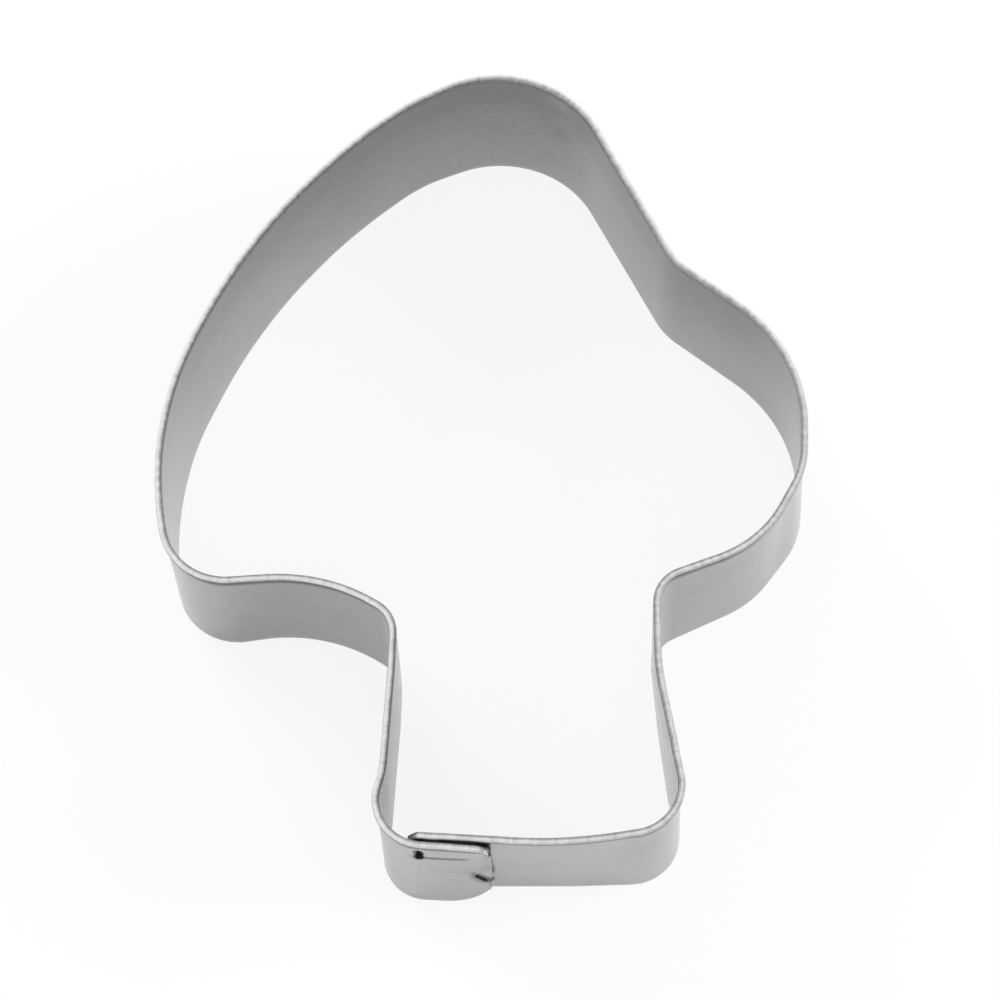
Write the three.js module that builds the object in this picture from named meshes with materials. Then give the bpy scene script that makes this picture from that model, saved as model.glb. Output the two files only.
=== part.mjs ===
// A cookie cutter bent from one steel strip in the outline of a lopsided mushroom.
// Millimetres, +Z up. The plain cutting edge lies on z = 0 and the rolled rim is on top.
// The crown of the cap points to +Y and the foot of the stalk to -Y.
import * as THREE from 'three';

// The strip: its height on edge, its sheet thickness and the rim that is rolled outwards along its top
const STRIP_HEIGHT = 20;
const WALL = 0.35;
const BEAD_REACH = 0.45;
const BEAD_HEIGHT = 1.0;
const BEAD_LIP_RADIUS = 0.3;

// The bends, in the order in which the strip is fed round the outline, counter-clockwise from above.
// x and y are the corner where the two straight runs would meet at the rim, and radius is the bend there.
// A strip bent by hand does not stand quite upright: leanX and leanY carry the corner from rim to cutting edge.
const BENDS = [
  { name: 'inner lap end', x: -10.0, y: -43.7, radius: 0, leanX: 0, leanY: -0.2 },
  { name: 'base of the stalk', x: 7.1, y: -45.7, radius: 55, leanX: 0.1, leanY: 0.8 },
  { name: 'right foot', x: 19.4, y: -44.1, radius: 5.3, leanX: 1.5, leanY: -1.1 },
  { name: 'right ankle', x: 18.7, y: -38.5, radius: 12, leanX: 0, leanY: 1.5 },
  { name: 'right side of the stalk', x: 17.2, y: -27.0, radius: 25, leanX: 0.8, leanY: 0 },
  { name: 'right neck', x: 17.7, y: -16.7, radius: 4, leanX: 0, leanY: -1.0 },
  { name: 'right underside of the cap', x: 29.4, y: -13.1, radius: 13, leanX: 0.1, leanY: 0.2 },
  { name: 'right lip', x: 34.7, y: -4.6, radius: 10, leanX: 1.2, leanY: -0.6 },
  { name: 'right shoulder', x: 36.0, y: 9.4, radius: 18, leanX: 0.4, leanY: -0.1 },
  { name: 'notch', x: 22.2, y: 21.3, radius: 8, leanX: -0.1, leanY: 0.4 },
  { name: 'right of the crown', x: 9.4, y: 50.2, radius: 12.8, leanX: 0.4, leanY: -1.5 },
  { name: 'left of the crown', x: -6.4, y: 43.1, radius: 20, leanX: 0.2, leanY: 0.3 },
  { name: 'left shoulder', x: -23.9, y: 31.4, radius: 68, leanX: 0.4, leanY: -0.4 },
  { name: 'left side of the cap', x: -36.9, y: 3.4, radius: 38, leanX: -0.4, leanY: 0.2 },
  { name: 'left lip', x: -34.2, y: -14.3, radius: 7, leanX: -0.6, leanY: -0.5 },
  { name: 'left underside of the cap', x: -18.2, y: -14.0, radius: 20, leanX: -0.5, leanY: 0.6 },
  { name: 'left neck', x: -10.3, y: -19.1, radius: 4, leanX: -0.4, leanY: -0.2 },
  { name: 'left side of the stalk', x: -10.8, y: -25.6, radius: 40, leanX: -0.4, leanY: 0 },
  { name: 'left ankle', x: -12.1, y: -36.9, radius: 10, leanX: -0.4, leanY: -0.2 },
  { name: 'left foot', x: -14.6, y: -44.1, radius: 4.8, leanX: 0.3, leanY: -0.8 },
  { name: 'outer lap end', x: -1.6, y: -45.8, radius: 0, leanX: 0, leanY: -0.6 },
];

// The outer end's lower corner is rounded off, so that it does not catch in the dough
const END_CORNER_RADIUS = 4.5;
const END_CORNER_STEPS = 6;

// The welding tongs have squeezed the outer end towards the inner lap, most at its lower corner:
// how far the cutting edge is pushed in at the very end, and over which length that fades out
const END_SQUEEZE = 1.05;
const END_SQUEEZE_LENGTH = 6;
const END_SQUEEZE_POWER = 2.5;

// A bend is cut into facets of at most this turn and this length
const FACET_TURN = THREE.MathUtils.degToRad(8);
const FACET_LENGTH = 3;
const BEAD_SEGMENTS = 3;

// The spot welds join the lapped ends, one above the other, a little back from the outer end
const WELD_SET_BACK = 1.1;
const WELD_RADIUS = 0.95;
const WELD_WAIST = 0.8;
const WELD_HEIGHTS = { spot_weld_upper: 10.8, spot_weld_lower: 6.2 };
const WELD_CLEARANCE = 0.12;
const WELD_SIDES = 20;

const STEEL = { color: 0xb4b5b6, roughness: 0.38, metalness: 1.0 };
const WELDED_STEEL = { color: 0x9c9b99, roughness: 0.5, metalness: 1.0 };

// One corner of the outline, moved by its lean for the cutting edge
function cornerOf(bend, leanShare) {
  return new THREE.Vector2(bend.x + bend.leanX * leanShare, bend.y + bend.leanY * leanShare);
}

// The turn at a corner, positive to the left, and the directions of the runs before and after it
function turnAt(corners, index) {
  const before = corners[index].clone().sub(corners[index - 1]).normalize();
  const after = corners[index + 1].clone().sub(corners[index]).normalize();
  return { before, turn: Math.atan2(before.cross(after), before.dot(after)) };
}

// The outward side of a strip that runs along a direction: to the right of it
function outwards(direction) {
  return new THREE.Vector2(direction.y, -direction.x);
}

// How many facets each bend gets, the same at the rim and at the cutting edge
function facetCounts() {
  const corners = BENDS.map((bend) => cornerOf(bend, 0));
  return BENDS.map((bend, index) => {
    if (bend.radius === 0) return 0;
    const turn = Math.abs(turnAt(corners, index).turn);
    return Math.max(2, Math.ceil(turn / FACET_TURN), Math.ceil((turn * bend.radius) / FACET_LENGTH));
  });
}

// The middle of the outer lap's sheet at a distance back from its end. It is squeezed in, not at all at the rim
// and most at the cutting edge.
function outerLapAt(setBack, leanShare) {
  const last = BENDS.length - 1;
  const end = cornerOf(BENDS[last], leanShare);
  const run = end.clone().sub(cornerOf(BENDS[last - 1], leanShare)).normalize();
  const squeeze = END_SQUEEZE * (1 - setBack / END_SQUEEZE_LENGTH) ** END_SQUEEZE_POWER * leanShare;
  return end.addScaledVector(run, -setBack).addScaledVector(outwards(run), -squeeze);
}

// The round of the outer end's lower corner, from where it leaves the cutting edge up to the end itself:
// how far back from the end each step lies, and how high the strip starts there
function endCornerSteps() {
  const steps = [];
  for (let step = 0; step <= END_CORNER_STEPS; step += 1) {
    const angle = ((Math.PI / 2) * step) / END_CORNER_STEPS;
    const setBack = END_CORNER_RADIUS * (1 - Math.sin(angle));
    const lowest = END_CORNER_RADIUS * (1 - Math.cos(angle));
    steps.push({ setBack, lowest });
  }
  return steps;
}

// Points along one outline, each with its outward side and the height at which the strip starts there:
// the inner end, every bend's arc in equal steps, and the rounded outer end
function stationsAlong(leanShare) {
  const corners = BENDS.map((bend) => cornerOf(bend, leanShare));
  const counts = facetCounts();
  const stations = [];
  const origin = new THREE.Vector2();
  const last = BENDS.length - 1;
  const startRun = corners[1].clone().sub(corners[0]).normalize();
  const endRun = corners[last].clone().sub(corners[last - 1]).normalize();
  stations.push({ point: corners[0], out: outwards(startRun), lowest: 0 });
  for (let index = 1; index < last; index += 1) {
    const { before, turn } = turnAt(corners, index);
    const radius = BENDS[index].radius;
    const start = corners[index].clone().addScaledVector(before, -radius * Math.tan(Math.abs(turn) / 2));
    const centre = start.clone().addScaledVector(outwards(before), -Math.sign(turn) * radius);
    for (let step = 0; step <= counts[index]; step += 1) {
      const angle = (turn * step) / counts[index];
      const point = start.clone().rotateAround(centre, angle);
      const direction = before.clone().rotateAround(origin, angle);
      stations.push({ point, out: outwards(direction), lowest: 0 });
    }
  }
  for (const { setBack, lowest } of endCornerSteps()) {
    stations.push({ point: outerLapAt(setBack, leanShare), out: outwards(endRun), lowest });
  }
  return stations;
}

// The strip's section: x runs from its middle towards the inside of the cutter, y runs up
function stripSection() {
  const inner = WALL / 2;
  const outer = -WALL / 2;
  const beadOuter = outer - BEAD_REACH;
  const crownRadius = (inner - beadOuter) / 2;
  const lipTop = STRIP_HEIGHT - BEAD_HEIGHT + BEAD_LIP_RADIUS;
  const section = new THREE.Shape();
  section.moveTo(outer, 0);
  section.lineTo(inner, 0);
  section.lineTo(inner, STRIP_HEIGHT - crownRadius);
  section.absarc(inner - crownRadius, STRIP_HEIGHT - crownRadius, crownRadius, 0, Math.PI, false);
  section.lineTo(beadOuter, lipTop);
  section.absarc(beadOuter + BEAD_LIP_RADIUS, lipTop, BEAD_LIP_RADIUS, Math.PI, 1.5 * Math.PI, false);
  section.lineTo(outer, STRIP_HEIGHT - BEAD_HEIGHT);
  section.closePath();
  return section;
}

// The straight strip is extruded with one step per station, and every station is then carried to its place.
// The strip's height runs along the line from cutting edge to rim, which leans a little.
function bandGeometry() {
  const rim = stationsAlong(0);
  const edge = stationsAlong(1);
  const lastStation = rim.length - 1;
  const band = new THREE.ExtrudeGeometry(stripSection(), {
    depth: lastStation,
    steps: lastStation,
    bevelEnabled: false,
    curveSegments: BEAD_SEGMENTS,
  });
  const place = band.attributes.position;
  for (let vertex = 0; vertex < place.count; vertex += 1) {
    const station = Math.round(place.getZ(vertex));
    const inwards = place.getX(vertex);
    const height = Math.max(place.getY(vertex), rim[station].lowest);
    const share = height / STRIP_HEIGHT;
    const middle = edge[station].point.clone().lerp(rim[station].point, share);
    const out = edge[station].out.clone().lerp(rim[station].out, share).normalize();
    middle.addScaledVector(out, -inwards);
    place.setXYZ(vertex, middle.x, middle.y, height);
  }
  band.computeVertexNormals();
  return band;
}

// A weld nugget fills the gap between the outer face of the inner lap and the inner face of the outer lap.
// The two faces are not quite parallel, so it is turned half way between them.
function weldMesh(name, height) {
  const leanShare = 1 - height / STRIP_HEIGHT;
  const onOuter = outerLapAt(WELD_SET_BACK, leanShare);
  const outerRun = outerLapAt(0, leanShare).sub(outerLapAt(2 * WELD_SET_BACK, leanShare)).normalize();
  const innerEnd = cornerOf(BENDS[0], leanShare);
  const innerRun = cornerOf(BENDS[1], leanShare).sub(innerEnd).normalize();
  const along = onOuter.clone().sub(innerEnd).dot(innerRun);
  const onInner = innerEnd.clone().addScaledVector(innerRun, along);
  const thickness = onOuter.distanceTo(onInner) - WALL - 2 * WELD_CLEARANCE;
  const profile = [
    new THREE.Vector2(0, -thickness / 2),
    new THREE.Vector2(WELD_RADIUS, -thickness / 2),
    new THREE.Vector2(WELD_WAIST, 0),
    new THREE.Vector2(WELD_RADIUS, thickness / 2),
    new THREE.Vector2(0, thickness / 2),
  ];
  const mesh = new THREE.Mesh(
    new THREE.LatheGeometry(profile, WELD_SIDES),
    new THREE.MeshStandardMaterial(WELDED_STEEL),
  );
  const middle = onOuter.clone().lerp(onInner, 0.5);
  mesh.name = name;
  mesh.position.set(middle.x, middle.y, height);
  mesh.rotation.z = innerRun.clone().add(outerRun).angle();
  return mesh;
}

const cutter = new THREE.Group();

const band = new THREE.Mesh(bandGeometry(), new THREE.MeshStandardMaterial(STEEL));
band.name = 'cutter_band';
cutter.add(band);

for (const [name, height] of Object.entries(WELD_HEIGHTS)) {
  cutter.add(weldMesh(name, height));
}

export default cutter;
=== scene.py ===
# %% [markdown]
# # A mushroom cookie cutter, bent from one strip of steel
#
# The real cutter is one thin strip of sheet steel that stands on edge. A machine rolls its upper edge
# over into a smooth rim, bends it round the outline of a mushroom, laps its two ends at the foot and
# spot-welds them. This lesson makes it in the same order: the bends, the strip with its rim, the lap
# and the welds, and then the finish, the light and the camera. The construction is loaded first. It
# fixes the size and the place of every piece, so nothing is fitted by eye afterwards.

# %% Load the construction
import math

import bmesh
import bpy
from mathutils import Matrix, Vector, noise


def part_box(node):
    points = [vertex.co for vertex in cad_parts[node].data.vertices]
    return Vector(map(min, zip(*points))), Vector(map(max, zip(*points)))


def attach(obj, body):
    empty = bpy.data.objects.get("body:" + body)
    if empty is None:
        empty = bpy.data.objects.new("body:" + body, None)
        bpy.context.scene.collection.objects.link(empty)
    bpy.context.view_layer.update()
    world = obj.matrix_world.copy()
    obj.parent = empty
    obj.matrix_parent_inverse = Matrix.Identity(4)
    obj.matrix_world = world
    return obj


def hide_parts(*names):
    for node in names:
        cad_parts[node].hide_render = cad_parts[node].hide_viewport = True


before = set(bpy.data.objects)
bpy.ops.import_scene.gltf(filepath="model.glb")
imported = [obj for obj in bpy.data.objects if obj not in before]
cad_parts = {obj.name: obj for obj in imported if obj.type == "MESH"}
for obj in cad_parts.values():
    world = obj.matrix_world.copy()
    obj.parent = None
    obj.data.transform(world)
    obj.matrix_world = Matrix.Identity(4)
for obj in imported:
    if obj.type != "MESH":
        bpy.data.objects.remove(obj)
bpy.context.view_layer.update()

MM = 0.001

# %% [markdown]
# ## The bends
#
# The strip is fed forward and bent at one jaw after another, so the outline is a list of bends: the
# corner where two straight runs would meet, and the radius of the bend there. A smooth curve could be
# drawn through a few points instead, but a bent strip is straight between its bends, and its
# reflections show that at once. A strip bent like this doesn't stand quite upright, so every corner
# also has a small lean that carries it from the rim to the cutting edge.

# %% The bends, in millimetres, counter-clockwise from above
STRIP_HEIGHT = 20.0
SHEET = 0.35
BENDS = [
    # x and y at the rim, radius of the bend, lean in x and in y down to the cutting edge
    (-10.0, -43.7, 0.0, 0.0, -0.2),  # inner lap end
    (7.1, -45.7, 55.0, 0.1, 0.8),  # base of the stalk
    (19.4, -44.1, 5.3, 1.5, -1.1),  # right foot
    (18.7, -38.5, 12.0, 0.0, 1.5),  # right ankle
    (17.2, -27.0, 25.0, 0.8, 0.0),  # right side of the stalk
    (17.7, -16.7, 4.0, 0.0, -1.0),  # right neck
    (29.4, -13.1, 13.0, 0.1, 0.2),  # right underside of the cap
    (34.7, -4.6, 10.0, 1.2, -0.6),  # right lip
    (36.0, 9.4, 18.0, 0.4, -0.1),  # right shoulder
    (22.2, 21.3, 8.0, -0.1, 0.4),  # notch
    (9.4, 50.2, 12.8, 0.4, -1.5),  # right of the crown
    (-6.4, 43.1, 20.0, 0.2, 0.3),  # left of the crown
    (-23.9, 31.4, 68.0, 0.4, -0.4),  # left shoulder
    (-36.9, 3.4, 38.0, -0.4, 0.2),  # left side of the cap
    (-34.2, -14.3, 7.0, -0.6, -0.5),  # left lip
    (-18.2, -14.0, 20.0, -0.5, 0.6),  # left underside of the cap
    (-10.3, -19.1, 4.0, -0.4, -0.2),  # left neck
    (-10.8, -25.6, 40.0, -0.4, 0.0),  # left side of the stalk
    (-12.1, -36.9, 10.0, -0.4, -0.2),  # left ankle
    (-14.6, -44.1, 4.8, 0.3, -0.8),  # left foot
    (-1.6, -45.8, 0.0, 0.0, -0.6),  # outer lap end
]


def corners_at(share):
    """The corners of the outline: share 0 is the rim and share 1 the cutting edge."""
    return [Vector((x + lean_x * share, y + lean_y * share)) for x, y, _, lean_x, lean_y in BENDS]


def right_of(direction):
    """The outward side of a strip that is fed in this direction."""
    return Vector((direction.y, -direction.x))


def bends_at(share):
    """Each bend as its arc's start, its centre, its turn and the direction in which the strip enters it."""
    corners = corners_at(share)
    bends = []
    for before, corner, after, row in zip(corners, corners[1:], corners[2:], BENDS[1:]):
        entry = (corner - before).normalized()
        leave = (after - corner).normalized()
        turn = math.atan2(entry.cross(leave), entry.dot(leave))
        start = corner - entry * row[2] * math.tan(abs(turn) / 2)
        centre = start - right_of(entry) * math.copysign(row[2], turn)
        bends.append((start, centre, turn, entry))
    return bends


full_turn = sum(turn for start, centre, turn, entry in bends_at(0))
print("bends:", len(BENDS) - 2, "turning", round(math.degrees(full_turn)), "degrees")

# %% [markdown]
# ## Stations along the strip
#
# To bend a mesh strip, we need to know where each short length of it goes. A station is such a place:
# a point on the outline and the side that faces outwards there. The rim and the cutting edge are
# walked separately, with the same number of stations, and the wall is what spans the two. A Curve
# modifier could bend a straight strip too, but it knows only one path and could not lean the wall.

# %% Walk round the bends
RUN_STEP = 1.0
LAP_STEP = 0.15
ARC_STEP = 0.6
ARC_TURN = math.radians(3)


def turned(vector, angle):
    """A flat vector turned to the left."""
    return Matrix.Rotation(angle, 2) @ vector


def count_steps():
    """How many steps each run and each arc takes, measured at the rim. The laps get finer ones."""
    corners = corners_at(0)
    run_steps = []
    arc_steps = []
    here = corners[0]
    for start, centre, turn, entry in bends_at(0):
        step = RUN_STEP if run_steps else LAP_STEP
        run_steps.append(math.ceil((start - here).length / step))
        arc = abs(turn) * (start - centre).length
        arc_steps.append(math.ceil(max(abs(turn) / ARC_TURN, arc / ARC_STEP)))
        here = centre + turned(start - centre, turn)
    run_steps.append(math.ceil((corners[-1] - here).length / LAP_STEP))
    return run_steps, arc_steps


def walk(share):
    """The stations along one outline, each a point and its outward side."""
    run_steps, arc_steps = count_steps()
    stations = []
    here = corners_at(share)[0]
    for (start, centre, turn, entry), runs, arcs in zip(bends_at(share), run_steps, arc_steps):
        for step in range(runs):
            stations.append((here.lerp(start, step / runs), right_of(entry)))
        for step in range(arcs):
            angle = turn * step / arcs
            stations.append((centre + turned(start - centre, angle), right_of(turned(entry, angle))))
        here = centre + turned(start - centre, turn)
    end = corners_at(share)[-1]
    for step in range(run_steps[-1] + 1):
        stations.append((here.lerp(end, step / run_steps[-1]), right_of((end - here).normalized())))
    return stations


def distances(stations):
    """How far each station lies along its outline."""
    along = [0.0]
    for (before, _), (after, _) in zip(stations, stations[1:]):
        along.append(along[-1] + (after - before).length)
    return along


rim = walk(0)
edge = walk(1)
along_rim = distances(rim)
along_edge = distances(edge)
strip_length = along_rim[-1]
print("stations:", len(rim), "on a strip of", round(strip_length, 1), "mm")

# %% [markdown]
# ## The lap at the foot
#
# The two ends of the strip lie one over the other at the foot of the stalk. The outer end is a short
# tab. Its lower corner is rounded so that it won't catch, and the welding tongs have squeezed it in:
# its end is pressed towards the inner lap, a sharp fold runs below that dent, and a pressed groove
# with a deep pocket at one end runs below its rim. All of this is about a millimetre deep. It could
# be faked with a bump map, but the squeeze changes the outline of the tab, so it is real shape here.
# Bent metal has no hard steps, so the shape is put together from two soft ones: a climb from 0 to 1,
# and a band that fades out on both sides.

# %% Soft steps and round corners
def ease(low, high, value):
    """A smooth climb from 0 at low to 1 at high."""
    share = min(max((value - low) / (high - low), 0.0), 1.0)
    return share * share * (3 - 2 * share)


def between(low, high, soft, value):
    """1 from low to high, fading to 0 over a soft stretch outside them."""
    return ease(low - soft, low, value) * (1 - ease(high, high + soft, value))


def round_off(distance, radius):
    """How far a rounded corner has dropped at this distance from the strip's end."""
    if distance >= radius:
        return 0.0
    return radius - math.sqrt(radius * radius - (radius - distance) ** 2)


print("half way up a step:", ease(0, 1, 0.5), "and at a band's foot:", between(1, 2, 0.5, 0.5))

# %% [markdown]
# ## How the tab is pushed in
#
# A place on the tab is told by how far back it is from the tab's end and how high it is. One function
# then adds up what the tongs did there: the squeeze, the dent beyond the fold, the groove and the
# pocket. Moving the vertices by hand would also do, but a function can be read and changed later.

# %% How the lap is shaped
END_CORNER = 4.5
TAB_TIP_ROUND = 1.5
INNER_TIP_LENGTH = 1.3
INNER_TIP_DROP = 1.7
INNER_TIP_POWER = 1.6
SQUEEZE = 1.05
SQUEEZE_LENGTH = 6.0
SQUEEZE_POWER = 2.5
PINCH = 1.1
PINCH_BAND = (12.0, 15.5, 3.5)
DENT_DEPTH = 0.35
DENT_TOP = (11.0, 17.0)
DENT_CORNER_BACK = (0.6, 2.4)
DENT_CORNER_UP = (7.5, 12.0)
FOLD_TOP = Vector((1.9, 8.9))
FOLD_FOOT = Vector((0.0, 4.4))
FOLD_WIDTH = (-0.05, 0.12)
GROOVE_HEIGHT = 15.2
GROOVE_DEPTH = 0.14
GROOVE_END = 7.2
GROOVE_BAND = (3.0, GROOVE_END - 0.5, 2.0)
GROOVE_SLOPE = (8.0, 14.0)
GROOVE_LIP = (GROOVE_HEIGHT - 0.15, GROOVE_HEIGHT + 0.15)
POCKET = Vector((7.45, 15.9))
POCKET_REACH = Vector((0.7, 1.3))
POCKET_DEPTH = 0.55
POCKET_SLOPE = (0.55, 1.25)
WELD_AIR = 0.02
TAB_LENGTH = 9.5


def lap_gap(point, height):
    """The air between the two laps at a point of the tab's middle."""
    first, second = corners_at(1 - height / STRIP_HEIGHT)[:2]
    return (point - first).dot(right_of((second - first).normalized())) - SHEET


def past_fold(back, height):
    """How far a place on the tab lies from the fold's line, positive on the dent's side of it."""
    fold = FOLD_FOOT - FOLD_TOP
    return (Vector((back, height)) - FOLD_TOP).dot(Vector((fold.y, -fold.x)).normalized())


def from_pocket(back, height):
    """The distance from the middle of the pocket at the groove's end. It is 1 on the pocket's border."""
    return math.hypot((back - POCKET.x) / POCKET_REACH.x, (height - POCKET.y) / POCKET_REACH.y)


def tab_push(back, height, gap):
    """How far the tab is pushed in, at a distance back from its end and at a height."""
    squeeze = SQUEEZE * max(1 - back / SQUEEZE_LENGTH, 0.0) ** SQUEEZE_POWER * (1 - height / STRIP_HEIGHT)
    squeeze *= 1 + PINCH * between(*PINCH_BAND, height)
    squeeze = min(squeeze, max(gap - WELD_AIR, 0.0))
    corner = ease(*DENT_CORNER_BACK, back) * ease(*DENT_CORNER_UP, height)
    dent = ease(*FOLD_WIDTH, past_fold(back, height)) * (1 - corner)
    dent *= 1 - ease(*DENT_TOP, height)
    push = squeeze + min(max(gap - WELD_AIR - squeeze, 0.0), DENT_DEPTH) * dent
    groove = ease(*GROOVE_SLOPE, height) * (1 - ease(*GROOVE_LIP, height))
    groove *= between(*GROOVE_BAND, back)
    pocket = 1 - ease(*POCKET_SLOPE, from_pocket(back, height))
    return push + max(GROOVE_DEPTH * groove, POCKET_DEPTH * pocket)


print("air between the laps at the rim, mm:", round(lap_gap(rim[-8][0], STRIP_HEIGHT), 2))

# %% [markdown]
# ## The strip and its rolled rim
#
# A blank is cut from a coil, and each place on it ends up somewhere on the cutter: first up the wall
# and then round the roll of the rim. A profile could be swept along the outline instead, but a sweep
# has one section, and here the section leans, drops at both ends and is squeezed at the tab. A sheet
# that was rolled and bent is never quite even, so the wall and the roll waver by a few hundredths of a
# millimetre. That is too little to see as shape, but it makes the reflections of sheet metal swim.

# %% Where each place on the blank goes
ROLL_RADIUS = 0.4
ROLL_TURN = math.radians(250)
WALL_ROWS = 60
ROLL_ROWS = 18
WALL_WAVER = 0.05
WALL_WAVER_LENGTH = 9.0
WALL_WAVER_RISE = 11.0
ROLL_WAVER = 0.03
ROLL_WAVER_LENGTH = 1.7
ROLL_WAVER_LAYER = 4.0
CREASE_AT = 131.9
CREASE_RISE = 0.4
CREASE_REACH = 2.6
CREASE_BAND = (13.0, 16.0, 3.6)


def section_point(row, low, top, radius):
    """A point of the strip's inner side in its section: how far out it is, and how high."""
    if row <= WALL_ROWS:
        return -SHEET / 2, low + (top - low) * row / WALL_ROWS
    angle = ROLL_TURN * (row - WALL_ROWS) / ROLL_ROWS
    return -SHEET / 2 + radius * (1 - math.cos(angle)), top + radius * math.sin(angle)


def crease(distance, height):
    """How far out the wall stands at the crease that a jaw's edge left right of the crown."""
    near = max(1 - abs(distance - CREASE_AT) / CREASE_REACH, 0.0)
    return CREASE_RISE * near * between(*CREASE_BAND, height)


def strip_point(station, row):
    """Where a vertex of the blank goes, in millimetres."""
    distance = along_rim[station]
    back = strip_length - distance
    radius = ROLL_RADIUS + ROLL_WAVER * noise.noise((distance / ROLL_WAVER_LENGTH, 0.0, ROLL_WAVER_LAYER))
    tip = max(1 - distance / INNER_TIP_LENGTH, 0.0)
    drop = INNER_TIP_DROP * tip ** INNER_TIP_POWER + round_off(back, TAB_TIP_ROUND)
    top = STRIP_HEIGHT - radius - drop
    out, height = section_point(row, round_off(back, END_CORNER), top, radius)
    share = height / STRIP_HEIGHT
    middle = edge[station][0].lerp(rim[station][0], share)
    side = edge[station][1].lerp(rim[station][1], share).normalized()
    waver = noise.noise((distance / WALL_WAVER_LENGTH, height / WALL_WAVER_RISE, 0.0))
    out += WALL_WAVER * waver + crease(distance, height)
    if back < TAB_LENGTH:
        out -= tab_push(back, height, lap_gap(middle, height))
    flat = middle + side * out
    return Vector((flat.x, flat.y, height))


end_foot = strip_point(0, 0)
end_top = strip_point(0, WALL_ROWS)
print("the inner end stands", round(end_top.z - end_foot.z, 1), "mm high below its roll")

# %% [markdown]
# ## From blank to sheet
#
# The blank is a flat grid, one column per station and one row per height. Each vertex is carried to
# its place, and it keeps where it came from on the blank, because the finish will ask for that. The
# solidify operator then gives the sheet its thickness: a real rim is the same sheet rolled over, with
# a slit under it, and not a solid rod. The edges that were cut by the shears get a fine bevel, since
# an edge without any catches no light.

# %% Make the strip
CARRIED = ("along", "up", "rolled", "back", "fold", "pocket", "outside")
POCKET_SAG = 0.7
SHEARED_EDGE = 0.04
SHEARED_ANGLE = math.radians(60)
SMOOTH_ANGLE = math.radians(28)
RIM_ZONE = 2.0


def make_strip():
    """The whole strip as a closed shell, with its own coordinates kept on its vertices."""
    columns = len(rim)
    rows = WALL_ROWS + ROLL_ROWS + 1
    bm = bmesh.new()
    bmesh.ops.create_grid(bm, x_segments=columns - 1, y_segments=rows - 1, size=1.0)
    layers = {name: bm.verts.layers.float.new(name) for name in CARRIED}
    for vert in bm.verts:
        station = round((vert.co.x + 1) / 2 * (columns - 1))
        row = round((vert.co.y + 1) / 2 * (rows - 1))
        vert.co = strip_point(station, row)
        back = strip_length - along_rim[station]
        share = vert.co.z / STRIP_HEIGHT
        vert[layers["along"]] = along_edge[station] + (along_rim[station] - along_edge[station]) * share
        vert[layers["up"]] = vert.co.z
        vert[layers["back"]] = back
        vert[layers["fold"]] = past_fold(back, vert.co.z)
        # The pocket's distance is taken a little low, so that its painted shade sits low in the dent.
        vert[layers["pocket"]] = from_pocket(back, vert.co.z + POCKET_SAG)
        vert[layers["rolled"]] = max(row - WALL_ROWS, 0) / ROLL_ROWS
    inner_side = set(bm.verts)
    bmesh.ops.reverse_faces(bm, faces=bm.faces)
    bm.normal_update()
    bmesh.ops.solidify(bm, geom=bm.faces[:], thickness=SHEET)
    for vert in bm.verts:
        vert[layers["outside"]] = 0.0 if vert in inner_side else 1.0
    bm.normal_update()
    sharp = [cut for cut in bm.edges if cut.calc_face_angle(0) > SHEARED_ANGLE]
    sheared = [cut for cut in sharp if max(vert.co.z for vert in cut.verts) < STRIP_HEIGHT - RIM_ZONE]
    bmesh.ops.bevel(
        bm, geom=sheared, offset=SHEARED_EDGE, affect="EDGES", segments=2, profile=0.5, material=-1
    )
    bmesh.ops.scale(bm, vec=(MM, MM, MM), verts=bm.verts)
    return bm


def finish_piece(name, bm):
    """Turns a bmesh into an object at the origin, shaded smooth across its gentle angles."""
    mesh = bpy.data.meshes.new(name)
    bm.to_mesh(mesh)
    bm.free()
    mesh.polygons.foreach_set("use_smooth", [True] * len(mesh.polygons))
    mesh.set_sharp_from_angle(angle=SMOOTH_ANGLE)
    piece = bpy.data.objects.new(name, mesh)
    bpy.context.scene.collection.objects.link(piece)
    print(name, "faces:", len(mesh.polygons))
    return piece


strip = finish_piece("bent_strip", make_strip())

# %% [markdown]
# ## The spot welds
#
# The welding tongs press two round copper tips against the lap and melt the sheets together, one spot
# above the other. What shows is a shallow round mark with a low ridge on the inside of the cutter. The
# other end is fused into the tab, so it is measured how far off the tab is there. Each spot is turned
# like a small button: half of its section is drawn once, and the spin operator carries it round.

# %% Make the welds
WELD_RADIUS = 0.85
WELD_PROUD = 0.03
WELD_RIDGE = 0.025
RIDGE_TOP = 0.88
RIDGE_FOOT = 0.75
DISH_FLOOR = 0.55
SPIN_STEPS = 40
SAME_PLACE = 0.001


def weld_profile(tab_face):
    """Half of a weld's section from axis to axis: distance from the axis, and height along it."""
    face = -SHEET - WELD_PROUD
    fused = tab_face + SHEET / 2
    return [
        (0.0, fused),
        (RIDGE_TOP * WELD_RADIUS, fused),
        (WELD_RADIUS, fused - SHEET / 2),
        (WELD_RADIUS, face + WELD_PROUD),
        (RIDGE_TOP * WELD_RADIUS, face - WELD_RIDGE),
        (RIDGE_FOOT * WELD_RADIUS, face),
        (DISH_FLOOR * WELD_RADIUS, face + WELD_RIDGE),
        (0.0, face + WELD_RIDGE),
    ]


def tab_face_at(flat, side, height):
    """How far the nearest part of the tab's inner face is from a weld's middle."""
    tab = [station for station in range(len(rim)) if strip_length - along_rim[station] < TAB_LENGTH]
    points = [strip_point(station, row) for station in tab for row in range(WALL_ROWS)]
    ways = [(point.to_2d() - flat, point.z - height) for point in points]
    return min(way.dot(side) for way, rise in ways if math.hypot(way.cross(side), rise) < WELD_RADIUS)


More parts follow.
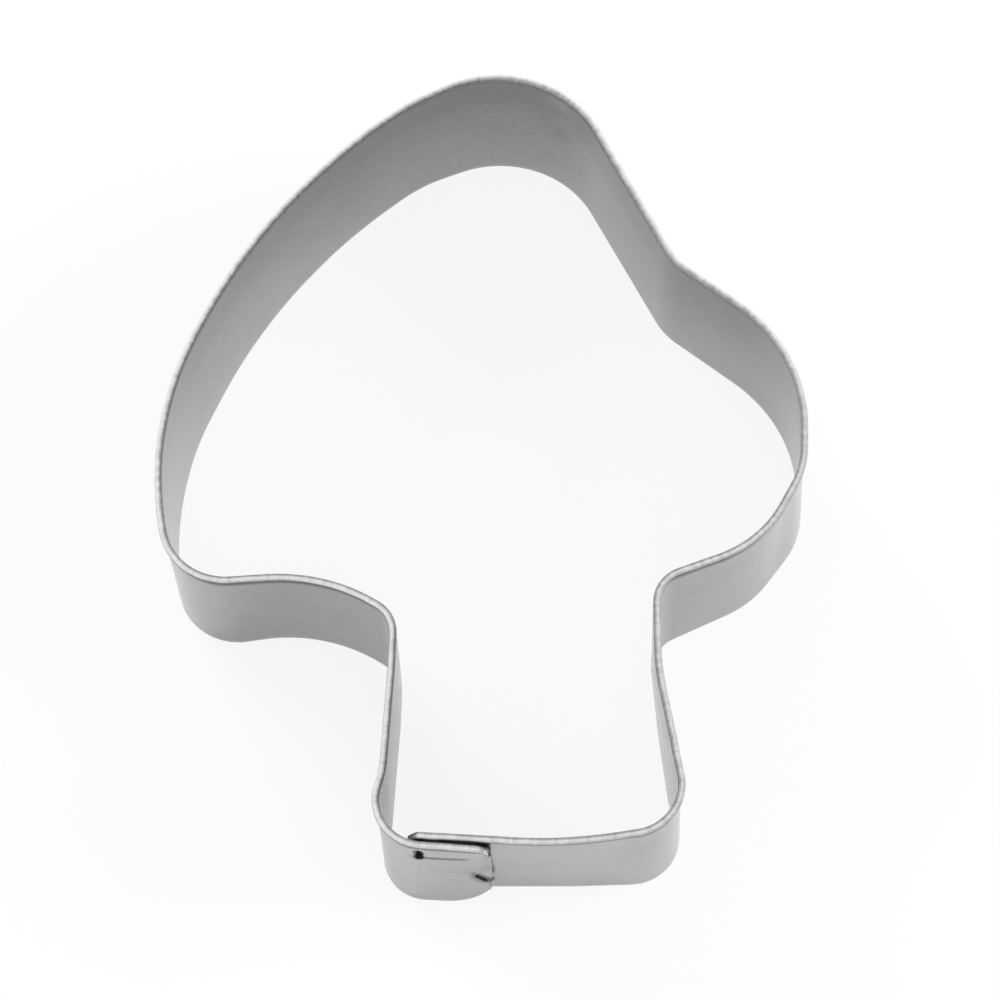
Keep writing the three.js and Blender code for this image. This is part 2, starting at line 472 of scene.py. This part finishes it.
def make_weld(node):
    """One weld where its node is, square to the inner lap."""
    low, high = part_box(node)
    centre = (low + high) / 2 / MM
    first, second = corners_at(1 - centre.z / STRIP_HEIGHT)[:2]
    side = right_of((second - first).normalized())
    flat = Vector((centre.x, centre.y))
    flat -= side * ((flat - first).dot(side) - SHEET / 2)
    bm = bmesh.new()
    from_axis = bm.verts.layers.float.new("from_axis")
    section = weld_profile(tab_face_at(flat, side, centre.z))
    profile = [bm.verts.new((reach, 0.0, height)) for reach, height in section]
    lines = [bm.edges.new(pair) for pair in zip(profile, profile[1:])]
    whole_turn = {"cent": (0, 0, 0), "axis": (0, 0, 1), "angle": math.tau, "steps": SPIN_STEPS}
    bmesh.ops.spin(bm, geom=profile + lines, use_merge=True, **whole_turn)
    bmesh.ops.remove_doubles(bm, verts=bm.verts, dist=SAME_PLACE)
    bmesh.ops.recalc_face_normals(bm, faces=bm.faces)
    for vert in bm.verts:
        vert[from_axis] = math.hypot(vert.co.x, vert.co.y) / WELD_RADIUS
    turn = Vector((side.x, side.y, 0)).to_track_quat("Z", "Y").to_matrix().to_4x4()
    bmesh.ops.transform(bm, matrix=Matrix.Translation((flat.x, flat.y, centre.z)) @ turn, verts=bm.verts)
    bmesh.ops.scale(bm, vec=(MM, MM, MM), verts=bm.verts)
    return finish_piece(node + "_mark", bm)


weld_nodes = ("spot_weld_upper", "spot_weld_lower")
welds = [make_weld(node) for node in weld_nodes]

# %% [markdown]
# ## Writing shader maths as Python
#
# A procedural finish is a lot of small sums on sockets. Wiring each Math node by hand hides the idea,
# so one small class wraps a socket and overloads the operators. Then 1 - mask is written as it is
# read, and each expression adds its own nodes.

# %% A socket that can be used in sums
class Wire:
    """A shader socket. Arithmetic on it adds Math nodes to its tree."""

    def __init__(self, tree, socket):
        self.tree = tree
        self.socket = socket

    def sum_node(self, operation, *values):
        return add_node(self.tree, "ShaderNodeMath", {"operation": operation}, dict(enumerate(values)))

    def output(self, name):
        """Another output of the same node."""
        return Wire(self.tree, self.socket.node.outputs[name])

    def __add__(self, other):
        return self.sum_node("ADD", self, other)

    def __radd__(self, other):
        return self.sum_node("ADD", other, self)

    def __sub__(self, other):
        return self.sum_node("SUBTRACT", self, other)

    def __rsub__(self, other):
        return self.sum_node("SUBTRACT", other, self)

    def __mul__(self, other):
        return self.sum_node("MULTIPLY", self, other)

    def __rmul__(self, other):
        return self.sum_node("MULTIPLY", other, self)

    def __lt__(self, other):
        return self.sum_node("LESS_THAN", self, other)


def add_node(tree, kind, settings, sockets, output=0):
    """Adds one node: its settings first, then the value or the link of each named socket."""
    node = tree.nodes.new(kind)
    for name, value in settings.items():
        setattr(node, name, value)
    for name, value in sockets.items():
        if isinstance(value, Wire):
            tree.links.new(value.socket, node.inputs[name])
        else:
            node.inputs[name].default_value = value
    return Wire(tree, node.outputs[output]) if node.outputs else None


def new_tree(name):
    """An empty material and its node tree."""
    material = bpy.data.materials.new(name)
    material.use_nodes = True
    material.node_tree.nodes.clear()
    return material, material.node_tree


# %% [markdown]
# ## Places on the sheet
#
# The marks on a metal strip follow the strip, not the room: rolling lines run along it, and the
# painted shade under the rim sits at a height on it. A pattern on Object coordinates would cut
# straight across the bends instead. So every vertex of the strip carries how far along and how far up
# the sheet it lies, in millimetres, and how far it is from the fold and from the pocket. The finish
# reads those numbers as its coordinates.

# %% Numbers that the mesh carries, and noise laid out in millimetres
def carried(tree, name):
    """A number that the mesh carries on its vertices."""
    return add_node(tree, "ShaderNodeAttribute", {"attribute_name": name}, {}, output="Fac")


def sheet_place(tree):
    """A place on the flat sheet: along, up, and far apart for its two sides."""
    sides = 40.0 * carried(tree, "outside")
    sockets = {"X": carried(tree, "along"), "Y": carried(tree, "up"), "Z": sides}
    return add_node(tree, "ShaderNodeCombineXYZ", {}, sockets)


def laid_out(tree, place, spacing):
    """The place counted in steps of these sizes along, up and across."""
    return add_node(tree, "ShaderNodeVectorMath", {"operation": "DIVIDE"}, {0: place, 1: spacing})


def blotches(tree, place, spacing, detail):
    """Noise around zero, with blotches of about this spacing."""
    sockets = {"Vector": laid_out(tree, place, spacing), "Scale": 1.0, "Detail": detail, "Roughness": 0.55}
    return add_node(tree, "ShaderNodeTexNoise", {}, sockets, output="Fac") - 0.5


def ramp(tree, value, low, high):
    """A smooth climb from 0 at low to 1 at high."""
    sockets = {"Value": value, "From Min": low, "From Max": high, "To Min": 0.0, "To Max": 1.0}
    return add_node(tree, "ShaderNodeMapRange", {"interpolation_type": "SMOOTHSTEP"}, sockets)


def blend(tree, share, first, second):
    """One colour mixed into another."""
    return add_node(tree, "ShaderNodeMix", {"data_type": "RGBA"}, {0: share, 6: first, 7: second}, output=2)


# %% [markdown]
# ## Specks and scratches
#
# Sheet steel that has been handled has sparse dark pits and a few hairlines. Both come from the
# Voronoi texture, which scatters one point in each cell of a grid. The distance to that point makes a
# round pit, and a number drawn by the cell keeps a pit in some cells only. The distance to the border
# between long, thin cells makes a hairline, and a noise breaks it into short pieces.

# %% Specks and scratches
SPECK_CELL = 2.3
SPECK_SHARE = 0.55
SCRATCH_CELL = (26.0, 9.0, 9.0)
SCRATCH_TURN = math.radians(24)


def specks(tree, place):
    """Small dark pits, at most one in each cell of the sheet and none in many of them."""
    cells = {"Vector": laid_out(tree, place, (SPECK_CELL, SPECK_CELL, SPECK_CELL)), "Scale": 1.0}
    reach = add_node(tree, "ShaderNodeTexVoronoi", {}, cells, output="Distance")
    lot = add_node(tree, "ShaderNodeSeparateColor", {}, {"Color": reach.output("Color")})
    return (lot < SPECK_SHARE) * (1 - ramp(tree, reach, 0.04, 0.1))


def scratches(tree, place):
    """Hairlines in short broken pieces, a little off the strip's own direction."""
    slanted = add_node(tree, "ShaderNodeMapping", {}, {"Vector": place, "Rotation": (0, 0, SCRATCH_TURN)})
    cells = {"Vector": laid_out(tree, slanted, SCRATCH_CELL), "Scale": 1.0}
    borders = {"feature": "DISTANCE_TO_EDGE"}
    border = add_node(tree, "ShaderNodeTexVoronoi", borders, cells, output="Distance")
    broken = ramp(tree, blotches(tree, place, (7.0, 7.0, 7.0), 1.0), 0.06, 0.14)
    return broken * (1 - ramp(tree, border, 0.002, 0.006))


# %% [markdown]
# ## Painted shade in the tab's creases
#
# The fold, the groove and the pocket of the lap are painted dark, a painted shade in its narrow
# places. The shade is drawn from the distances that the vertices carry, because a line that is thinner
# than a face of the mesh stays sharp that way.

# %% Painted shade on the tab
FOLD_LINE = (0.03, 0.16)
FOLD_SHADE = (0.1, 0.8)
FOLD_SHADE_HEIGHTS = (6.5, 8.3, 1.2)
GROOVE_SHADE_BACK = (3.2, GROOVE_END, 1.6)
GROOVE_SHADE_UP = (GROOVE_HEIGHT - 0.6, GROOVE_HEIGHT, 0.6)
POCKET_SHADE = (0.55, 1.15)


def window(tree, value, low, high, soft):
    """1 from low to high, fading to 0 over a soft stretch outside them."""
    return ramp(tree, value, low - soft, low) * (1 - ramp(tree, value, high, high + soft))


def tab_painted_shade(tree):
    """Painted shade in the fold, the groove and the pocket of the tab."""
    up = carried(tree, "up")
    fold = add_node(tree, "ShaderNodeMath", {"operation": "ABSOLUTE"}, {0: carried(tree, "fold")})
    # A dark painted line along the fold, with softer painted shade on both sides of it.
    line = 0.7 * (1 - ramp(tree, fold, *FOLD_LINE)) + 0.35 * (1 - ramp(tree, fold, *FOLD_SHADE))
    pocket = 1 - ramp(tree, carried(tree, "pocket"), *POCKET_SHADE)
    groove = window(tree, carried(tree, "back"), *GROOVE_SHADE_BACK) * window(tree, up, *GROOVE_SHADE_UP)
    return line * window(tree, up, *FOLD_SHADE_HEIGHTS) + 0.55 * groove + pocket


# %% [markdown]
# ## The satin steel
#
# The strip is plated sheet steel, dull as it comes off the rolls. Seen square on it is a middle grey,
# and it lightens to near white where the eye skims along it. One rough metal alone doesn't do that: a
# rough surface hides its own Fresnel effect. So the metal is rough and rather dark, and the bright
# skin of the plating is a smoother coat over it. On top of that come the things that tell sheet metal
# from grey paint: a faint mottle, fine lines along the way it was rolled, cloudy patches from
# handling, pits and hairlines. The rolled rim is painted lighter as a highlight, most on its top and
# outer side, with pebbled painted glints, and the cutting edge is polished by use. The inner faces are
# painted darker than the outer ones and darker towards the rim, a painted shade. Painted shade under
# and inside the rim and in the tab's creases joins the metal as a dull black shader of its own,
# because a metal shines at grazing angles however dark it is.

# %% Satin steel
STEEL_DARK = (0.24, 0.24, 0.24, 1)
STEEL_LIGHT = (0.5, 0.5, 0.5, 1)
HIGHLIGHT_AND_WORN_STEEL = (0.9, 0.9, 0.9, 1)
PIT_BLACK = (0.1, 0.1, 0.1, 1)
PAINTED_SHADE_BLACK = (0.012, 0.012, 0.012, 1)
MOTTLE_SIZE = (0.8, 0.7, 0.7)
CLOUD_SIZE = (14.0, 8.0, 8.0)
LINE_SIZE = (9.0, 0.22, 1.0)
PEBBLE_SIZE = (0.55, 0.45, 0.45)
RIM_START = (0.0, 0.1)
RIM_OUTER_HIGHLIGHT = (0.26, 0.42)
RIM_LOW = (0.56, 0.68)
WORN_EDGE = (0.1, 0.7)
UNDER_RIM = (17.3, 18.4)
INSIDE_RIM = (18.9, 19.5)
DULL_INSIDE = (9.0, 19.0)


def satin_steel():
    """The plated sheet of the strip."""
    material, tree = new_tree("satin_steel")
    place = sheet_place(tree)
    round_roll = carried(tree, "rolled")
    rolled = ramp(tree, round_roll, *RIM_START)
    rim_outer_highlight = ramp(tree, round_roll, *RIM_OUTER_HIGHLIGHT)
    rim_low = ramp(tree, round_roll, *RIM_LOW)
    mottle = blotches(tree, place, MOTTLE_SIZE, 3.0)
    cloud = blotches(tree, place, CLOUD_SIZE, 2.0)
    lines = blotches(tree, place, LINE_SIZE, 2.0)
    pebbles = blotches(tree, place, PEBBLE_SIZE, 2.0)
    pits = specks(tree, place)
    hairs = scratches(tree, place)
    up = carried(tree, "up")
    outside = carried(tree, "outside")
    worn = 1 - ramp(tree, up + 1.5 * mottle, *WORN_EDGE)
    # Painted shade: the inner faces are painted lighter towards the cutting edge and darker towards the
    # rim.
    inside_painted_shading = (1 - outside) * (0.5 - up * (1 / STRIP_HEIGHT))
    # Painted shade: a band on the outer wall just under the roll, and a faint line on the inner wall just
    # under the rim.
    under_rim = outside * ramp(tree, up + 0.4 * mottle, *UNDER_RIM)
    inside_rim = (1 - outside) * ramp(tree, up + 1.2 * mottle, *INSIDE_RIM)
    # Painted shade on the roll's lower outer side and on the walls just under the rim.
    rim_painted_shade = 0.75 * rim_low + (0.65 * under_rim + 0.1 * inside_rim) * (1 - rolled)
    # All the painted shade, in the tab's creases and round the rim, mixed in as a dull black shader.
    painted_shade_mix = outside * tab_painted_shade(tree) + rim_painted_shade
    dull = (1 - outside) * ramp(tree, up, *DULL_INSIDE)
    # The tone paints the inner faces darker than the outer ones, a painted shade, and varies at random with
    # mottle, cloud and rolling lines.
    tone = 0.28 + 0.1 * outside + 0.85 * inside_painted_shading + 0.55 * mottle + 0.5 * cloud + 0.12 * lines
    sheet = blend(tree, tone, STEEL_DARK, STEEL_LIGHT)
    # Painted highlight: the roll is painted lighter, most on its top and outer side, with pebbled painted
    # glints; the worn cutting edge is lighter as well.
    bright = blend(tree, rolled * (0.33 + 0.62 * rim_outer_highlight + 0.9 * pebbles) + 0.15 * worn, sheet, HIGHLIGHT_AND_WORN_STEEL)
    pitted = blend(tree, 0.5 * pits * (1 - rolled), bright, PIT_BLACK)
    roughness = 0.45 + 0.12 * mottle + 0.1 * cloud - 0.1 * hairs + 0.05 * rolled - 0.08 * worn
    height = 0.4 * mottle + 0.25 * lines + 0.8 * rolled * pebbles - 0.5 * pits - 0.3 * hairs
    bump = add_node(tree, "ShaderNodeBump", {}, {"Strength": 0.1, "Distance": 0.2 * MM, "Height": height})
    sockets = {
        "Base Color": pitted,
        "Metallic": 1.0,
        "Roughness": roughness,
        "Normal": bump,
        "Coat Weight": (1 - 0.12 * dull) * (1 - 0.4 * pits),
        "Coat Roughness": 0.15,
        "Coat IOR": 1.6,
    }
    metal = add_node(tree, "ShaderNodeBsdfPrincipled", {}, sockets)
    # The dull black shader that carries the painted shade.
    black_shade_settings = {"Base Color": PAINTED_SHADE_BLACK, "Roughness": 0.9, "Specular IOR Level": 0.1}
    black_for_painted_shade = add_node(tree, "ShaderNodeBsdfPrincipled", {}, black_shade_settings)
    shader = add_node(tree, "ShaderNodeMixShader", {}, {0: painted_shade_mix, 1: metal, 2: black_for_painted_shade})
    add_node(tree, "ShaderNodeOutputMaterial", {}, {"Surface": shader})
    return material


steel = satin_steel()
strip.data.materials.append(steel)
print("satin_steel nodes:", len(steel.node_tree.nodes))

# %% [markdown]
# ## The welded steel
#
# Where the sheets were fused, the plating has burnt off and the steel has melted and set again under
# the copper tips. It is duller than the strip, with fine rings from the tips and a scorched border.
# The rings run about the middle of each mark, so the marks carry the distance from their own axis,
# and the grain reads Object coordinates.

# %% Welded steel
WELD_GREY = (0.24, 0.235, 0.23, 1)
SCORCHED = (0.13, 0.125, 0.12, 1)
WELD_GRAIN = 0.3 * MM
WELD_RINGS = 60.0


def welded_steel():
    """The fused steel of the spot welds."""
    material, tree = new_tree("welded_steel")
    place = add_node(tree, "ShaderNodeTexCoord", {}, {}, output="Object")
    grain = blotches(tree, place, (WELD_GRAIN, WELD_GRAIN, WELD_GRAIN), 3.0)
    from_axis = carried(tree, "from_axis")
    border = ramp(tree, from_axis + 0.3 * grain, 0.55, 0.95)
    rings = add_node(tree, "ShaderNodeMath", {"operation": "SINE"}, {0: WELD_RINGS * from_axis})
    height = 0.3 * rings + grain
    bump = add_node(tree, "ShaderNodeBump", {}, {"Strength": 0.15, "Distance": 0.05 * MM, "Height": height})
    sockets = {
        "Base Color": blend(tree, border, WELD_GREY, SCORCHED),
        "Metallic": 1.0,
        "Roughness": 0.45 + 0.3 * grain,
        "Normal": bump,
    }
    shader = add_node(tree, "ShaderNodeBsdfPrincipled", {}, sockets)
    add_node(tree, "ShaderNodeOutputMaterial", {}, {"Surface": shader})
    return material


fused = welded_steel()
for weld in welds:
    weld.data.materials.append(fused)
print("welded_steel nodes:", len(fused.node_tree.nodes))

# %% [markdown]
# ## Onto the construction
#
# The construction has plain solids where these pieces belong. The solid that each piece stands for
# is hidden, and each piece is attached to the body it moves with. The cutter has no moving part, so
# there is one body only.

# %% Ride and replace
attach(strip, "root")
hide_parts("cutter_band")
for weld, node in zip(welds, weld_nodes):
    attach(weld, "root")
    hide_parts(node)
print("pieces:", [piece.name for piece in [strip] + welds])

# %% [markdown]
# ## The floor
#
# The cutter stands on a white table that shines softly itself, and that is most of what its walls
# show: seen from above, an upright wall mirrors the table beside it. A lamp strong enough to turn
# plain paper white would burn out the rim, so the paper is mixed with a glow that only the camera and
# reflections see. The rest of it still takes the cutter's soft shadow.

# %% Floor
FLOOR_RADIUS = 3.0
FLOOR_SIDES = 96
FLOOR_DROP = 0.00002
PAPER = (0.9, 0.9, 0.9, 1)
GLOW_SEEN = 0.87
GLOW_MIRRORED = 0.45


def make_floor():
    """A wide round table top just under the cutting edge."""
    bm = bmesh.new()
    bmesh.ops.create_circle(bm, cap_ends=True, segments=FLOOR_SIDES, radius=FLOOR_RADIUS)
    bmesh.ops.translate(bm, vec=(0, 0, -FLOOR_DROP), verts=bm.verts)
    floor = finish_piece("floor", bm)
    material, tree = new_tree("white_table")
    paper = add_node(tree, "ShaderNodeBsdfDiffuse", {}, {"Color": PAPER})
    glow = add_node(tree, "ShaderNodeEmission", {}, {"Strength": 1.0})
    path = add_node(tree, "ShaderNodeLightPath", {}, {}, output="Is Camera Ray")
    mirrored = path.output("Is Glossy Ray") + path.output("Is Transmission Ray")
    share = GLOW_SEEN * path + GLOW_MIRRORED * mirrored
    both = add_node(tree, "ShaderNodeMixShader", {}, {0: share, 1: paper, 2: glow})
    add_node(tree, "ShaderNodeOutputMaterial", {}, {"Surface": both})
    floor.data.materials.append(material)
    return floor


floor = make_floor()

# %% [markdown]
# ## The light
#
# A shop photographs small metal things in a white tent, because metal shows whatever is round it. The
# world is that tent. Large soft boxes shine through its cloth: a low one on the right, a low one at the
# back on the left, and two weak ones overhead and in front. They light the table, and the walls mirror
# the table, so the shadows that the walls throw on it decide how bright each wall looks. The boxes
# themselves are hidden from reflections, because the cloth hangs before them. The tent is open low
# down at the front right. Only the round rim mirrors that far out, and the dark opening draws the thin
# dark lines along it that make it look round.

# %% World and lamps
TENT_LIGHT = 0.35
TENT_SEEN = 0.9
OPENING_SEEN = 0.1
OPENING_SIDE = (0.8, -0.6, 0.0)
OPENING_WIDTH = (0.2, 0.6)
OPENING_TOP = (0.3, 0.65)
BOX_WIDTH = 0.5


def white_tent():
    """A world that lights less than it shows, with an opening that only reflections see."""
    world = bpy.data.worlds.new("white_tent")
    world.use_nodes = True
    tree = world.node_tree
    tree.nodes.clear()
    path = add_node(tree, "ShaderNodeLightPath", {}, {}, output="Is Camera Ray")
    mirrored = path.output("Is Glossy Ray") + path.output("Is Transmission Ray")
    way = add_node(tree, "ShaderNodeTexCoord", {}, {}, output="Generated")
    sockets = {0: way, 1: OPENING_SIDE}
    side = add_node(tree, "ShaderNodeVectorMath", {"operation": "DOT_PRODUCT"}, sockets, output="Value")
    climb = add_node(tree, "ShaderNodeSeparateXYZ", {}, {"Vector": way}, output="Z")
    opening = ramp(tree, side, *OPENING_WIDTH) * (1 - ramp(tree, climb, *OPENING_TOP))
    strength = TENT_LIGHT + (TENT_SEEN - TENT_LIGHT) * (path + mirrored)
    strength -= (TENT_SEEN - OPENING_SEEN) * opening * mirrored
    cloth = add_node(tree, "ShaderNodeBackground", {}, {"Color": (1, 1, 1, 1), "Strength": strength})
    add_node(tree, "ShaderNodeOutputWorld", {}, {"Surface": cloth})
    return world


bpy.context.scene.world = white_tent()


def softbox(name, place, power):
    """A square area lamp that faces the cutter, hidden from reflections."""
    lamp = bpy.data.lights.new(name, "AREA")
    lamp.shape = "SQUARE"
    lamp.size = BOX_WIDTH
    lamp.energy = power
    box = bpy.data.objects.new(name, lamp)
    box.location = place
    box.rotation_euler = (-Vector(place)).to_track_quat("-Z", "Y").to_euler()
    box.visible_glossy = False
    bpy.context.scene.collection.objects.link(box)
    return box


lamps = [
    softbox("overhead_box", (0.0, 0.1, 0.8), 0.6),
    softbox("right_box", (0.75, 0.0, 0.27), 9.0),
    softbox("back_left_box", (-0.5, 0.6, 0.3), 7.0),
    softbox("front_box", (0.0, -0.51, 0.61), 0.6),
]
print("lamps:", [(lamp.name, lamp.data.energy) for lamp in lamps])

# %% [markdown]
# ## The camera
#
# The photograph looks down on the cutter from the foot of the stalk, through a long lens. How much
# lower the cutting edge appears than the rim gives the angle, and how much smaller the crown's wall is
# drawn than the foot's gives the distance. The camera is a little rolled as well. Its axes are built
# from the look-down angle, so that no helper object is needed to aim it.

# %% Camera
FRAME_PIXELS = 1000
FOCAL_PIXELS = 3000
PIXELS_PER_MM = 8.6
LOOK_DOWN = math.radians(67.4)
ROLL = math.radians(-2.97)
TARGET = Vector((1.5, 1.5, 0.0)) * MM

lens = bpy.data.cameras.new("photo_camera")
lens.sensor_width = 36.0
lens.lens = lens.sensor_width * FOCAL_PIXELS / FRAME_PIXELS
lens.clip_start = 0.01
backward = Vector((0, -math.cos(LOOK_DOWN), math.sin(LOOK_DOWN)))
rightward = Vector((1, 0, 0))
upward = backward.cross(rightward)
aim = Matrix((rightward, upward, backward)).transposed() @ Matrix.Rotation(ROLL, 3, "Z")
distance = FOCAL_PIXELS / PIXELS_PER_MM * MM
camera = bpy.data.objects.new("photo_camera", lens)
camera.matrix_world = Matrix.Translation(TARGET + backward * distance) @ aim.to_4x4()
bpy.context.scene.collection.objects.link(camera)
bpy.context.scene.camera = camera
bpy.context.scene.view_settings.view_transform = "Standard"
print("camera:", round(distance / MM), "mm away, lens", lens.lens, "mm")
